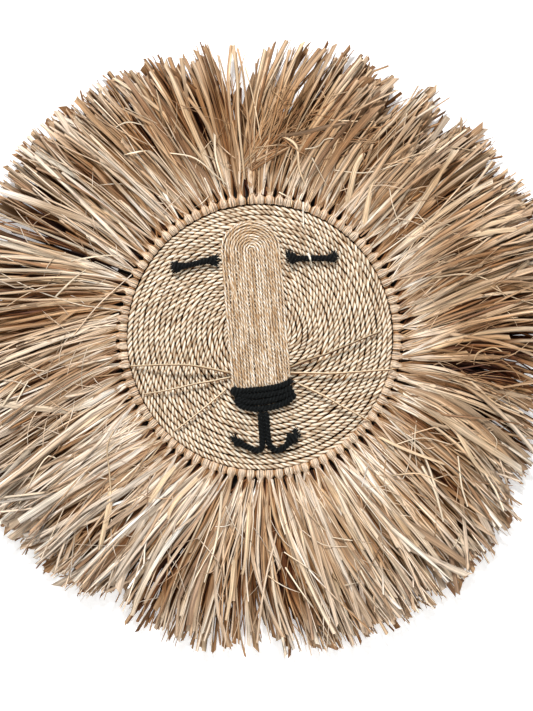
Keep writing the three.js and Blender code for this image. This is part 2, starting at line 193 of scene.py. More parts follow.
class Strip:
    """A strip of leaf a unit long, with four corners round it, modelled once for every copy"""

    def __init__(self, rings):
        drop_selection()
        bpy.ops.mesh.primitive_circle_add(vertices=4, radius=1, fill_type="NGON")
        strip = bpy.context.object
        bpy.ops.object.mode_set(mode="EDIT")
        for _ in range(rings - 1):
            bpy.ops.mesh.extrude_region_move(TRANSFORM_OT_translate={"value": (0, 0, 1)})
        bpy.ops.mesh.select_all(action="SELECT")
        bpy.ops.mesh.normals_make_consistent(inside=False)
        bpy.ops.object.mode_set(mode="OBJECT")
        spots = np.array([corner.co[:] for corner in strip.data.vertices])
        faces = [list(face.vertices) for face in strip.data.polygons]
        bpy.data.objects.remove(strip, do_unlink=True)
        self.rings = rings
        self.ring = np.rint(spots[:, 2]).astype(int)
        self.round = np.rint(np.arctan2(spots[:, 1], spots[:, 0]) / (math.pi / 2)).astype(int) % 4
        self.across = np.cos(self.round * math.pi / 2)
        self.proud = np.sin(self.round * math.pi / 2)
        self.loops = np.concatenate(faces)
        self.starts = np.cumsum([0] + [len(face) for face in faces[:-1]])
        turned = []
        for face in faces:
            rounds = self.round[face].astype(float)
            rings_met = self.ring[face]
            if rings_met.min() == rings_met.max():
                # A cut end has a little square of its own beyond the strip
                side = 0.15 if rings_met[0] == 0 else 0.6
                square = np.array([(0, 0), (1, 0), (1, 1), (0, 1)], float)
                turned += [(side + 0.25 * x, 1.02 + 0.03 * y) for x, y in square]
                continue
            if rounds.max() - rounds.min() > 2:
                rounds[rounds == 0] = 4
            turned += list(zip(rounds / 4, rings_met / (rings - 1)))
        self.turned = np.array(turned)

    def laid(self, name, places, width, depth, fold, roll, tint, columns, length, cut, fold_shade):
        """Copies of the strip along their own lines, as one mesh of raffia"""
        count, rings = places.shape[:2]
        fold, roll = (np.broadcast_to(value, width.shape) for value in (fold, roll))
        along = unit(np.gradient(places, axis=1))
        outward = unit(places[..., :2])
        side = np.stack([outward[..., 1], -outward[..., 0], np.zeros((count, rings))], -1)
        side = unit(side - along * (side * along).sum(-1, keepdims=True))
        front = np.cross(side, along)
        cos, sin = np.cos(roll)[..., None], np.sin(roll)[..., None]
        side, front = side * cos + front * sin, front * cos - side * sin
        ring = self.ring
        across = self.across[None, :, None]
        proud = self.proud[None, :, None]
        rise = proud * depth - np.abs(across) * fold[:, ring, None]
        spots = places[:, ring] + across * width[:, ring, None] * side[:, ring] + rise * front[:, ring]
        slanted = (ring == self.rings - 1)[None, :, None] * across * (cut[:, None] * width[:, ring])[..., None]
        spots = spots + slanted * along[:, ring]
        spots[..., 2] = np.maximum(spots[..., 2], 0.12 + 0.1 * (self.proud + 1))
        corners = on_wall(spots).reshape(-1, 3)
        each = len(ring)
        steps = np.arange(count)[:, None]
        loops = (self.loops[None, :] + each * steps).ravel()
        starts = (self.starts[None, :] + len(self.loops) * steps).ravel()
        rows = math.ceil(count / columns)
        column, row = np.arange(count) % columns, np.arange(count) // columns
        turned = self.turned
        baked = np.stack([
            (column[:, None] + 0.08 + 0.84 * turned[None, :, 0]) / columns,
            (row[:, None] + 0.02 + 0.92 * turned[None, :, 1]) / rows,
        ], -1)
        # The grain is in millimetres round the strip and along it
        grain = np.stack([
            4 * turned[None, :, 0] * width.mean(1)[:, None] + 8 * steps,
            turned[None, :, 1] * length + 31.7 * (steps % 13),
        ], -1)
        ahead, behind = tint
        # The front corners take the front's painted shade, the back ones the back's and the sides mostly the
        # front's; one edge of each strip is painted lighter than the other, as the two sides of a fold take the
        # light
        share = np.array([0.0, 0.85, 1.0])[self.proud.round().astype(int) + 1][None, :, None]
        shade = ahead[:, ring] * share + behind[:, ring] * (1 - share)
        shade = shade * (1 + self.across[None] * fold_shade[:, None])[..., None]
        # How near a corner is to the curled edge goes beside the colour, for the painted shade at the edges,
        # less on a broad leaf
        edge = np.abs(self.across)[None] * np.clip(1.5 / width.mean(1), 0.6, 1)[:, None]
        shade = np.concatenate([shade, edge[..., None]], -1).reshape(-1, 4)
        maps = {"Grain": grain.reshape(-1, 2), "OFBake": baked.reshape(-1, 2)}
        piece = mesh_piece(name, corners, loops, starts, maps, shade, raffia)
        mesh = piece.data
        ends = np.empty(2 * len(mesh.edges), np.int32)
        mesh.edges.foreach_get("vertices", ends)
        ends = ring[ends.reshape(-1, 2) % each]
        smooth_but(piece, (ends[:, 0] != ends[:, 1]) | (ends[:, 0] == 0) | (ends[:, 0] == rings - 1))
        return seated(piece, "raffia", "raffia_mane")


def evenly(route, step):
    """Points a step apart along a smooth line through the route's corners"""
    route = np.asarray(route, float)
    padded = np.vstack([2 * route[0] - route[1], route, 2 * route[-1] - route[-2]])
    fine = []
    for a, b, c, d in zip(padded, padded[1:], padded[2:], padded[3:]):
        for t in np.linspace(0, 1, 24, endpoint=False):
            fine.append(0.5 * (2 * b + (c - a) * t + (2 * a - 5 * b + 4 * c - d) * t ** 2
                               + (3 * b - 3 * c + d - a) * t ** 3))
    fine = np.array(fine + [route[-1]])
    travelled = np.concatenate([[0], np.cumsum(np.linalg.norm(np.diff(fine, axis=0), axis=1))])
    stations = np.linspace(0, travelled[-1], max(3, round(travelled[-1] / step) + 1))
    return np.stack([np.interp(stations, travelled, fine[:, i]) for i in range(fine.shape[1])], -1)


def drifting(rng, place, every, amount):
    """A slow random change along a strand"""
    knots = rng.normal(0, amount, int(place[-1] / every) + 2)
    return np.interp(place / every, np.arange(len(knots)), knots)


def laid_cord(route, outline, turns, girth):
    """The corners of a twisted cord: its outline turned and carried along the route"""
    along = unit(np.gradient(route, axis=0))
    out = np.array([0.0, 0.0, 1.0])
    side = unit(np.cross(along, out))
    front = np.cross(side, along)
    cos, sin = np.cos(turns)[:, None], np.sin(turns)[:, None]
    x, y = outline[None, :, 0], outline[None, :, 1]
    u = (x * cos - y * sin) * girth
    v = (x * sin + y * cos) * girth
    return route[:, None] + u[..., None] * side[:, None] + v[..., None] * front[:, None]


def cord_piece(name, cords, tints, material, cells, lay_scale):
    """Twisted cords as one mesh: faces between their rings, closed at both ends"""
    corners, loops, starts, baked, grain, shades = [], [], [], [], [], []
    first = 0
    loop_count = 0
    columns, rows, per_cell = cells
    cell = 0
    for rings, tint in zip(cords, tints):
        count, around = rings.shape[:2]
        ring, spoke = np.meshgrid(np.arange(count - 1), np.arange(around), indexing="ij")
        ring, spoke = ring.ravel(), spoke.ravel()
        following = (spoke + 1) % around
        faces = np.stack([
            ring * around + spoke, ring * around + following,
            (ring + 1) * around + following, (ring + 1) * around + spoke,
        ], -1)
        strip = ring // per_cell
        low = ring - strip * per_cell
        place = cell + strip
        column, row = place % columns, place // columns
        u = np.stack([spoke, spoke + 1, spoke + 1, spoke], -1) / around
        v = np.stack([low, low, low + 1, low + 1], -1) / per_cell
        baked.append(np.stack([
            (column[:, None] + 0.02 + 0.9 * v) / columns,
            (row[:, None] + 0.06 + 0.88 * u) / rows,
        ], -1).reshape(-1, 2))
        length = np.concatenate([[0], np.cumsum(np.linalg.norm(
            np.diff(rings.mean(1), axis=0), axis=1))])
        reach = np.stack([length[ring], length[ring], length[ring + 1], length[ring + 1]], -1)
        grain.append(np.stack([u * lay_scale, reach + 53.1 * len(corners)], -1).reshape(-1, 2))
        loops.append((first + faces).ravel())
        starts.append(loop_count + 4 * np.arange(len(faces)))
        loop_count += 4 * len(faces)
        for end, at in ((0, 0.94), (count - 1, 0.97)):
            cap = end * around + np.arange(around)
            cap = cap[::-1] if end == 0 else cap
            disc = 0.5 + 0.45 * circle(around)
            column, row = cell % columns, cell // columns
            baked.append(np.stack([(column + at + 0.02 * disc[:, 0]) / columns,
                                   (row + 0.3 + 0.3 * disc[:, 1]) / rows], -1))
            grain.append(disc * 4 + length[end])
            loops.append(first + cap)
            starts.append([loop_count])
            loop_count += around
        cell += int(strip.max()) + 1
        corners.append(rings.reshape(-1, 3))
        shades.append(np.asarray(tint).reshape(-1, 3))
        first += count * around
    if cell > columns * rows:
        raise ValueError(f"{name} needs {cell} cells")
    piece = mesh_piece(
        name, on_wall(np.vstack(corners)), np.concatenate(loops), np.concatenate(starts),
        {"Grain": np.vstack(grain), "OFBake": np.vstack(baked)}, np.vstack(shades), material)
    smooth_but(piece, np.zeros(len(piece.data.edges), bool))
    return piece


def lobed(plies, points_each, ply, offset, past=0.55):
    """The outline of plies laid round each other, from the valley beside the first"""
    outline = []
    reach = math.pi / plies
    for number in range(plies):
        middle = 2 * math.pi * number / plies
        centre = offset * np.array([math.cos(middle), math.sin(middle)])
        for step in range(points_each):
            share = (step + 0.5) / points_each * 2 - 1
            turn = middle + share * (reach + past)
            outline.append(centre + ply * np.array([math.cos(turn), math.sin(turn)]))
    return np.array(outline)


# Finishes

def wired(tree, node, inputs):
    """The node with its inputs set, or linked where the value is another node's output"""
    for name, value in inputs.items():
        if isinstance(value, bpy.types.NodeSocket):
            tree.links.new(value, node.inputs[name])
        else:
            node.inputs[name].default_value = value
    return node


def new_node(tree, kind, inputs, **settings):
    node = tree.nodes.new("ShaderNode" + kind)
    for name, value in settings.items():
        setattr(node, name, value)
    return wired(tree, node, inputs)


def finish(name, roughness, gloss, sheen):
    """A new material, its nodes and its shader"""
    material = bpy.data.materials.new(name)
    material.use_nodes = True
    tree = material.node_tree
    shader = wired(tree, tree.nodes["Principled BSDF"], {
        "Roughness": roughness, "Specular IOR Level": gloss, "Sheen Weight": sheen, "Sheen Roughness": 0.5})
    return material, tree, shader


def fibres(tree, source, scale, detail=3.0):
    """Noise stretched along the strand: scale is how fine it is across and along"""
    mapping = new_node(tree, "Mapping", {"Scale": (*scale, 1), "Vector": source})
    return new_node(tree, "TexNoise", {
        "Scale": 1, "Detail": detail, "Roughness": 0.6, "Vector": mapping.outputs["Vector"]}).outputs["Fac"]


def spread_to(tree, value, low, high, start=0.3, end=0.7):
    """The noise's range carried to another range"""
    return new_node(tree, "MapRange", {
        "From Min": start, "From Max": end, "To Min": low, "To Max": high, "Value": value}).outputs["Result"]


def worked_out(tree, operation, a, b):
    return new_node(tree, "Math", {0: a, 1: b}, operation=operation).outputs["Value"]


def raised(tree, height, strength, distance):
    """The normal of a surface that this height stands proud of"""
    return new_node(tree, "Bump", {
        "Strength": strength, "Distance": distance * MM, "Height": height}).outputs["Normal"]


def strand_finish(name, roughness, gloss, sheen, fine, broad, contrast, relief, edges=0.0):
    """Dry fibre: its tint with the painted shade in it, fine streaks along it, broad stains and a raised grain
    """
    material, tree, shader = finish(name, roughness, gloss, sheen)
    tint = new_node(tree, "Attribute", {}, attribute_name="Tint")
    grain = new_node(tree, "UVMap", {}, uv_map="Grain").outputs["UV"]
    streaks = fibres(tree, grain, fine)
    stains = fibres(tree, grain, broad, 2.0)
    strength = worked_out(
        tree, "MULTIPLY",
        spread_to(tree, streaks, 1 - contrast, 1 + contrast, 0.36, 0.64),
        spread_to(tree, stains, 1 - contrast * 0.6, 1 + contrast * 0.5),
    )
    if edges:
        # Less light towards the two edges of a strip, where the leaf curls
        curled = worked_out(tree, "POWER", tint.outputs["Alpha"], 2.5)
        strength = worked_out(tree, "MULTIPLY", strength, spread_to(tree, curled, 1.0, 1.0 - edges, 0.0, 1.0))
    coloured = new_node(tree, "VectorMath", {0: tint.outputs["Color"], "Scale": strength}, operation="SCALE")
    wired(tree, shader, {
        "Base Color": coloured.outputs["Vector"],
        "Roughness": spread_to(tree, streaks, roughness + 0.12, roughness - 0.12),
        "Normal": raised(tree, streaks, 0.6, relief),
    })
    return material


def felt_finish():
    # Near-black felt, also used for the hoop: on the backing its darkness is painted shade, for the gaps between
    # the rope's rows and beside the knots
    material, tree, shader = finish("backing_felt", 0.95, 0.1, 0.1)
    place = new_node(tree, "TexCoord", {}).outputs["Object"]
    fuzz = new_node(tree, "TexNoise", {"Scale": 900, "Detail": 4, "Vector": place}).outputs["Fac"]
    ramp = new_node(tree, "ValToRGB", {"Fac": fuzz})
    ramp.color_ramp.elements[0].color = (0.006, 0.005, 0.0045, 1)
    ramp.color_ramp.elements[1].color = (0.022, 0.018, 0.016, 1)
    wired(tree, shader, {"Base Color": ramp.outputs["Color"], "Normal": raised(tree, fuzz, 0.5, 0.3)})
    return material


raffia = strand_finish("raffia_leaf", 0.58, 0.2, 0.0, (1.5, 0.03), (0.45, 0.02), 0.4, 0.4, 0.62)
seagrass = strand_finish("seagrass_ply", 0.55, 0.35, 0.0, (1.0, 0.12), (0.15, 0.05), 0.22, 0.3)
jute = strand_finish("jute_yarn", 0.85, 0.15, 0.1, (0.9, 0.3), (0.15, 0.08), 0.22, 0.3)
cotton = strand_finish("black_cotton", 0.8, 0.12, 0.04, (1.2, 0.5), (0.2, 0.1), 0.4, 0.5)
straw = strand_finish("dry_straw", 0.5, 0.4, 0.0, (2.0, 0.2), (0.3, 0.05), 0.15, 0.1)
felt = felt_finish()


# Rope face

def rope_disc():
    """One three-ply rope coiled from the rim to the middle, its outer end tucked under"""
    rng = np.random.default_rng(11)
    lay, step, per_ply = 17.8, 1.7, 5
    middle_radius = 1.6
    rim = DISC_RADIUS - ROPE / 2
    end_angle = math.radians(-10)

    def coil_radius(back):
        # Each turn runs level with the rim, then steps in by one rope
        turn = back / (2 * math.pi)
        into = np.clip((turn % 1) / 0.21, 0, 1)
        return rim + ROPE - ROPE * (np.floor(turn) + into * into * (3 - 2 * into))

    # Walk the spiral inwards from its outer end, then turn it round
    angles = [0.0]
    while coil_radius(angles[-1]) > middle_radius:
        angles.append(angles[-1] + step / coil_radius(angles[-1]))
    back = np.array(angles[::-1])
    radius = coil_radius(back)
    tucked = np.clip((radius - rim - 0.5) / ROPE, 0, 1)
    angle = end_angle - back
    count = len(back)
    place = np.arange(count) * step
    radius = radius + drifting(rng, place, 27, 0.16)
    height = 2.95 + drifting(rng, place, 15, 0.34) - 1.6 * tucked
    rise = COIL_RISE * (1 - np.clip(radius / DISC_RADIUS, 0, 1)) - 0.4
    route = np.stack([radius * np.cos(angle), radius * np.sin(angle) + rise, height], -1)
    outline = lobed(3, per_ply, 1.4, 1.38, 1.3)
    plies = [slice(first, first + per_ply) for first in range(0, len(outline), per_ply)]
    pace = 1 + drifting(rng, place, 26, 0.2) + drifting(rng, place, 9, 0.1)
    twist = -np.cumsum(2 * np.pi * step / lay * pace)
    # Each ply swells and thins on its own
    girth = np.ones((count, len(outline)))
    for ply in plies:
        girth[:, ply] += drifting(rng, place, 7, 0.11)[:, None]
    tail = np.clip((place[-1] - place) / 26, 0, 1)
    girth *= (0.25 + 0.75 * tail ** 0.7)[:, None]
    corners = laid_cord(route, outline, twist, girth)
    # Painted shade: each corner is darker the less it stands out of its row, so dark lines part the rows; the
    # underside is kept at half light
    standing = (corners[..., 2] - route[:, None, 2]) / 2.7
    light = 0.2 + 0.8 * np.clip(standing * 1.45 + 0.01, 0, 1)
    light = np.where(standing < -0.4, 0.5, light)
    corners[..., 2] = np.maximum(corners[..., 2], 0.64)
    # Tints change from ply to ply and slowly along each, with painted shade in the grooves between them
    tint = np.empty((count, len(outline), 3))
    pale, tan, brown = linear(238, 229, 211), linear(229, 215, 193), linear(178, 155, 126)
    groove_shade = np.array([0.4, 0.94, 1.0, 0.94, 0.4])
    for ply in plies:
        knots = rng.random(int(place[-1] / 8) + 5) ** 1.8
        mix = np.interp(place, np.arange(len(knots)) * 8.0, knots)[:, None]
        shade = np.where(mix < 0.5, pale + (tan - pale) * mix * 2, tan + (brown - tan) * (mix * 2 - 1))
        tint[:, ply] = shaded(shade[:, None], groove_shade * light[:, ply])
    per_cell = 150
    rows = int(count / per_cell) + 2
    piece = cord_piece("rope_face", [corners], [tint], seagrass, (1, rows, per_cell), 10.0)
    return seated(piece, "seagrass_rope", "face_disc")


def backing():
    """A felt disc that the rope is glued to, which also closes the back behind the knots"""
    drop_selection()
    bpy.ops.mesh.primitive_circle_add(vertices=96, radius=BACKING_RADIUS * MM, fill_type="NGON")
    piece = bpy.context.object
    piece.name = piece.data.name = "backing"
    bpy.ops.object.mode_set(mode="EDIT")
    bpy.ops.mesh.select_all(action="SELECT")
    for width in (6, 50, 50):
        bpy.ops.mesh.inset(thickness=width * MM)
    bpy.ops.mesh.select_all(action="SELECT")
    bpy.ops.mesh.extrude_region_move(TRANSFORM_OT_translate={"value": (0, 0, FELT * MM)})
    bpy.ops.mesh.select_all(action="SELECT")
    bpy.ops.mesh.normals_make_consistent(inside=False)
    bpy.ops.transform.rotate(value=math.pi / 2, orient_axis="X", center_override=(0, 0, 0))
    bpy.ops.object.mode_set(mode="OBJECT")
    # The felt lies in front of the wall, whichever way the turn went
    spots = np.array([corner.co[:] for corner in piece.data.vertices])
    if spots[:, 1].max() > 1e-6:
        spots[:, 1] *= -1
        piece.data.vertices.foreach_set("co", spots.ravel())
        piece.data.flip_normals()
    # The near-black felt shows through the gaps as their painted shade
    piece.data.materials.append(felt)
    return seated(piece, None)


def mane_ring():
    """The hoop that the raffia is knotted on"""
    drop_selection()
    bpy.ops.mesh.primitive_torus_add(
        major_segments=120, minor_segments=8, major_radius=HOOP_RADIUS * MM, minor_radius=HOOP_WIRE * MM,
        rotation=(math.pi / 2, 0, 0), location=(0, -HOOP_OUT * MM, 0))
    piece = bpy.context.object
    piece.name = piece.data.name = "mane_hoop"
    bpy.ops.object.transform_apply(location=True, rotation=True, scale=True)
    bpy.ops.object.shade_smooth()
    piece.data.materials.append(felt)
    return seated(piece, None)


# Raffia mane

def mane_reach(degrees):
    """How far out the mane's tips are, with the gaps in its edge"""
    reach = MANE_RADIUS - MANE_SAG * np.sin(np.radians(degrees))
    for at, depth, width in MANE_GAPS:
        away = (np.mod(degrees, 360) - at) / width
        reach = reach - depth * np.exp(-away ** 2)
    return reach


def mane_lean(degrees, radius):
    """How far the tufts are swept from straight out at a place"""
    around = [read_off(degrees, MANE_LEAN, column, period=360) for column in (1, 2, 3)]
    near = np.clip((radius - LEAN_RADII[0]) / (LEAN_RADII[1] - LEAN_RADII[0]), 0, 1)
    far = np.clip((radius - LEAN_RADII[1]) / (LEAN_RADII[2] - LEAN_RADII[1]), 0, 1)
    lean = around[0] + (around[1] - around[0]) * near
    return lean + (around[2] - lean) * far


def along_tuft(radius, reach):
    """How far along its tuft a place is, 0 at the neck and 1 at the tips"""
    return (radius - NECK_RADIUS) / np.maximum(reach - NECK_RADIUS, 1)


def mane_top(along):
    """How far out from the wall the top strands lie"""
    return read_off(along, HEIGHTS)


def fan_lines(rng, home, offset, spread, drift, layer, share, rings, neck, creased):
    """Lines of strands that leave a knot's neck and fan out with the tuft's own sweep"""
    count = len(home)
    steps = np.linspace(0, 1, rings) ** 1.1
    wave = rng.normal(0, 1, (count, 2))
    # The first walk has a usual reach, the second the mane's reach where each strand ended
    reach = np.full(count, 290.0)
    for _ in range(2):
        degrees = home + np.degrees(offset / neck)
        flow = home.copy()
        radius = neck.copy()
        stations, angles = [radius], [degrees]
        for step in range(1, rings):
            further = neck + (reach * share - neck) * steps[step]
            lean = mane_lean(flow, (radius + further) / 2) + drift
            flow = flow + np.degrees(np.tan(np.radians(lean)) * np.log(further / radius))
            opened = np.clip((further - 146) / 36, 0, 1) ** 0.8
            degrees = flow + np.degrees(offset / neck) * (1 - opened) + spread * opened
            degrees = degrees + 0.45 * wave[:, 0] * np.sin(3.1 * steps[step] + 2 * wave[:, 1]) * opened
            radius = further
            stations.append(radius)
            angles.append(degrees)
        reach = mane_reach(angles[-1])
    radius, degrees = np.array(stations).T, np.radians(np.array(angles).T)
    along = along_tuft(radius, reach[:, None])
    within = np.clip(along, 0, 1)
    low = 1.0 + 1.5 * within
    height = low + (mane_top(along) - low) * layer[:, None]
    height += rng.normal(0, 0.9, (count, 1)) * np.sin(math.pi * within)
    height += rng.normal(0, 1.6, (count, 1)) * within ** 2
    # Creases: the dry leaf goes on straight from each in a new direction
    travelled = radius - radius[:, :1]
    for chance, amount in ((0.6, 4), (0.3, 8), (0.1, 18)):
        at = travelled[:, -1:] * rng.uniform(0.3, 0.92, (count, 1))
        past = np.maximum(travelled - at, 0)
        bent = rng.normal(0, amount, (count, 2)) * (rng.random((count, 1)) < chance) * creased[:, None]
        degrees = degrees + past * np.tan(np.radians(np.clip(bent[:, :1], -28, 28))) / radius
        height += past * np.tan(np.radians(np.clip(0.5 * bent[:, 1:], -9, 9)))
    x, y = radius * np.cos(degrees), radius * np.sin(degrees)
    droop = 5 * np.clip(along, 0, 1.1) ** 2 * np.abs(np.cos(degrees))
    return np.stack([x, y - droop, np.clip(height, 0.6, 27)], -1)


# The colours of dry raffia and how often each comes
LEAF_TINTS = [
    (linear(248, 233, 213), 0.18), (linear(240, 220, 198), 0.29), (linear(227, 203, 178), 0.24),
    (linear(204, 174, 145), 0.13), (linear(176, 144, 117), 0.08), (linear(214, 198, 180), 0.08),
]


def standing_out(lines):
    """How far out a strand's points are, as a share of the mane's thickness there"""
    radius, degrees = polar(lines)
    return np.clip(lines[..., 2] / mane_top(along_tuft(radius, mane_reach(degrees))), 0, 1.05)


def leaf_tints(rng, lines, out):
    """Each strand's colour before and behind, browner above and to the right, with painted shade where it lies
    deep in the mane and on the backs of the upper strands
    """
    count, rings = lines.shape[:2]
    chances = np.array([chance for _, chance in LEAF_TINTS])
    picked = rng.choice(len(LEAF_TINTS), count, p=chances / chances.sum())
    colour = np.array([tint for tint, _ in LEAF_TINTS])[picked]
    colour = colour * (1 + rng.normal(0, 0.07, (count, 1)))
    radius, degrees = polar(lines)
    brown = read_off(degrees, BROWNER, period=360)
    brown = brown * np.interp(radius, (150, 175, 205, 235, 275), (0, 0.5, 1, 1, 0.5))
    # Painted shade: a strand is darker the deeper it lies in the mane, less so near the tips and at the thin
    # place, where light reaches the under strands
    tip = np.clip((radius / mane_reach(degrees) - 0.8) / 0.17, 0, 1)
    thin = np.exp(-((np.mod(degrees, 360) - THIN_AT) / 11) ** 2)
    tip = np.clip(tip + 1.5 * thin * (radius > 200), 0, 1)
    least = 0.035 + 0.035 * brown + (0.3 + 0.3 * thin) * tip
    light = (1 - 0.42 * brown) * (least + (1 - least) * np.clip(out, 0, 1) ** (7 - 5.5 * tip))
    along = np.linspace(0, 1, rings)[None, :]
    run = 1 + (rng.normal(0, 0.1, (count, 1)) - 0.02) * np.sin(2.6 * along + rng.random((count, 1)) * 6)
    run = run + rng.normal(0, 0.1, (count, 1)) * np.sin(9 * along + rng.random((count, 1)) * 6)
    # Painted shade behind: the upper strands are darker on their backs, where the lower ones cover them
    light_behind = 0.05 + 0.95 * np.clip(1.1 - lines[..., 2] / 9, 0, 1) ** 3
    return shaded(colour[:, None], light * run), shaded(colour[:, None], light_behind * run)


def leaf_widths(rng, count, rings, neck_width, widest):
    """Half widths: gathered at the neck, then opened out flat to a blunt or a pointed end"""
    kind = rng.random(count)
    half = np.select(
        [kind < 0.28, kind < 0.62, kind < 0.91],
        [rng.uniform(0.3, 0.75, count), rng.uniform(0.75, 1.5, count), rng.uniform(1.5, 2.5, count)],
        rng.uniform(2.2, widest, count))
    along = np.linspace(0, 1, rings)[None, :]
    open_up = np.clip(along / 0.34, 0, 1) ** 0.8
    width = np.minimum(half, neck_width)[:, None] * (1 - open_up) + half[:, None] * open_up
    width = width * (1 + rng.normal(0, 0.1, (count, rings)))
    pointed = rng.random(count) < 0.15
    tip = np.where(pointed[:, None], 1 - 0.85 * np.clip((along - 0.7) / 0.3, 0, 1) ** 1.3, 1.0)
    return width * tip


def rolled(rng, count, rings, least, most):
    """How far each strip is turned on its length, changing at its creases"""
    along = np.linspace(0, 1, rings)[None, :]
    roll = rng.normal(0, least, (count, 1))
    for _ in range(2):
        at = rng.uniform(0.15, 0.9, (count, 1))
        roll = roll + rng.normal(0, most, (count, 1)) * np.clip((along - at) / 0.16, 0, 1)
    return roll


def tuft_strands(name, rng, home, tight, swept, leaf):
    """Every tuft's strands, from under to over, in locks that run together"""
    amount = len(home)
    tuft = np.repeat(np.arange(amount), STRANDS_PER_TUFT)
    home = home[tuft]
    count = len(home)
    rings = leaf.rings
    lock = rng.integers(0, LOCKS_PER_TUFT, count)
    locks = (amount, LOCKS_PER_TUFT)
    lock_spread = np.sort(rng.uniform(-3.1, 3.1, locks), axis=1)[tuft, lock]
    lock_layer = rng.uniform(-0.2, 0.16, locks)[tuft, lock]
    lock_sweep = rng.normal(0, 2.2, locks)[tuft, lock]
    base = np.tile(np.arange(STRANDS_PER_TUFT) / (STRANDS_PER_TUFT - 1), amount)
    lowest = base < 0.2
    layer = np.clip(base + lock_layer, 0, 1)
    spread = lock_spread + rng.normal(0, 0.38, count)
    spread = np.where(lowest, rng.uniform(-2.6, 2.6, count), spread)
    offset = (np.clip(spread / 2.6, -1, 1) * 2.0 + rng.normal(0, 0.2, count)) * tight[tuft]
    offset = offset + np.where(rng.random(count) < 0.1, rng.normal(0, 2.4, count), 0)
    messy = read_off(home, MESSY, period=360)
    crossing = rng.random(count) < 0.15 * messy
    drift = swept[tuft] + lock_sweep * messy ** 1.5 + rng.normal(0, 2.2, count) * messy
    drift = drift + np.where(crossing, rng.normal(0, 11, count), 0)
    drift = np.where(lowest, rng.normal(0, 1.5, count), drift)
    lock_reach = 1 + 0.024 * rng.normal(0, 1, locks)[tuft, lock]
    tuft_reach = 1 + 0.014 * rng.normal(0, 1, amount)[tuft]
    short = rng.random(count) < 0.24
    share = lock_reach * tuft_reach * (1 - np.abs(rng.normal(0, 0.02, count)))
    share = np.where(short, share * rng.uniform(0.66, 0.97, count), share)
    share = np.where(lowest, share * rng.uniform(0.8, 0.96, count), share)
    sparse = np.exp(-((np.mod(home, 360) - THIN_AT) / 5.5) ** 2)
    share = np.where(rng.random(count) < 0.9 * sparse, share * rng.uniform(0.5, 0.75, count), share)
    share = np.clip(share, 0.5, 1.03)
    neck = np.full(count, 141.0) + rng.uniform(0, 3, count)
    creased = np.where(lowest, 0.4, rng.uniform(0.5, 1.4, count) * messy)
    lines = fan_lines(rng, home, offset, spread, drift, layer, share, rings, neck, creased)
    half = leaf_widths(rng, count, rings, 0.7, 4.2)
    half = np.where(lowest[:, None], np.minimum(half + 0.5, 2.0), half)
    # Broad leaves lie flatter than narrow ones, and their fronts are painted darker, a shade that holds down the
    # light they catch
    broad = half.mean(1)[:, None]
    roll = rolled(rng, count, rings, 0.3, 0.45) * np.clip(1.6 / broad, 0.45, 1)
    bright = rng.normal(1, 0.035, locks)[tuft, lock]
    fold = half * rng.uniform(-0.35, 0.6, (count, 1)) * np.clip(1.3 / broad, 0.35, 1)
    tint = leaf_tints(rng, lines, standing_out(lines) * bright[:, None])
    tint[0][:] *= np.clip(1.14 - 0.13 * broad, 0.76, 1.04)[..., None]
    leaf.laid(
        name, lines, half, 0.12, fold, roll, tint, 92, 150.0,
        rng.uniform(-1.4, 1.4, count), rng.normal(0, 0.12, count))


# Down one knot's middle: distance from the centre, height, half width, how far its sides draw back
KNOT = np.array([
    (140.5, 0.6, 4.2, 0), (135, 0.5, 4.5, 0), (132.9, 2.2, 4.6, 0.6), (132.9, 5.2, 4.65, 0.7),
    (134.5, 8.2, 4.75, 0.5), (137.0, 9.6, 4.8, 0), (139.6, 8.8, 4.4, -0.5), (141.6, 6.6, 3.1, -0.9),
])


